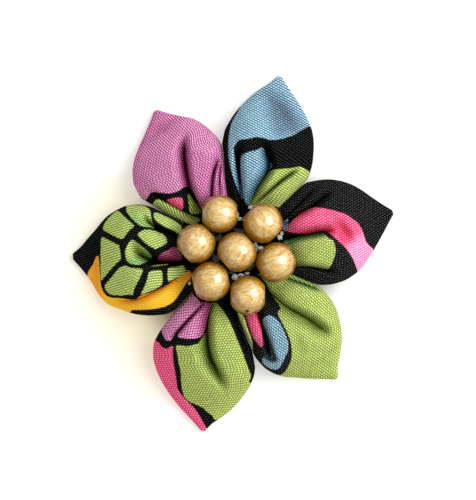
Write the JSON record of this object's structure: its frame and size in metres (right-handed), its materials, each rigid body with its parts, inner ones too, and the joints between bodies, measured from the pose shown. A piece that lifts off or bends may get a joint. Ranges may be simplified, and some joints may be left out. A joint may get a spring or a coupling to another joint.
{
  "type": "flower lapel pin",
  "caption": "Flower lapel pin of folded printed cotton petals round a cluster of varnished wooden beads, with a felt disc and a closed bar pin behind.",
  "frame": {"origin": "middle of the flower's outline, on the surface that it lies on with its face up", "axes": "+Z out of the flower's face, +Y along the line from the lowest petal to the top petal as in the picture, +X to the right"},
  "size_m": [0.0658, 0.0728, 0.0169],
  "materials": {
    "cloth_purple": "printed plain-weave cotton canvas, matt",
    "cloth_blue": "printed plain-weave cotton canvas, matt",
    "cloth_black": "printed plain-weave cotton canvas, matt",
    "cloth_green": "printed plain-weave cotton canvas, matt",
    "bead_wood": "turned pale wood, stained golden tan and varnished",
    "glue": "set clear hot glue, smooth",
    "felt": "dense craft felt, matt",
    "steel": "nickel-plated steel"
  },
  "bodies": {
    "root": {"petal_top_left": "cloth_purple", "petal_top": "cloth_blue", "petal_right": "cloth_black", "petal_bottom_right": "cloth_green", "petal_bottom_left": "cloth_green", "petal_left": "cloth_green", "bead_top_left": "bead_wood", "bead_top_right": "bead_wood", "bead_right": "bead_wood", "bead_bottom": "bead_wood", "bead_bottom_left": "bead_wood", "bead_left": "bead_wood", "bead_centre": "bead_wood", "glue_pad": "glue", "felt_disc": "felt", "bar_pin": "steel"}
  },
  "joints": []
}
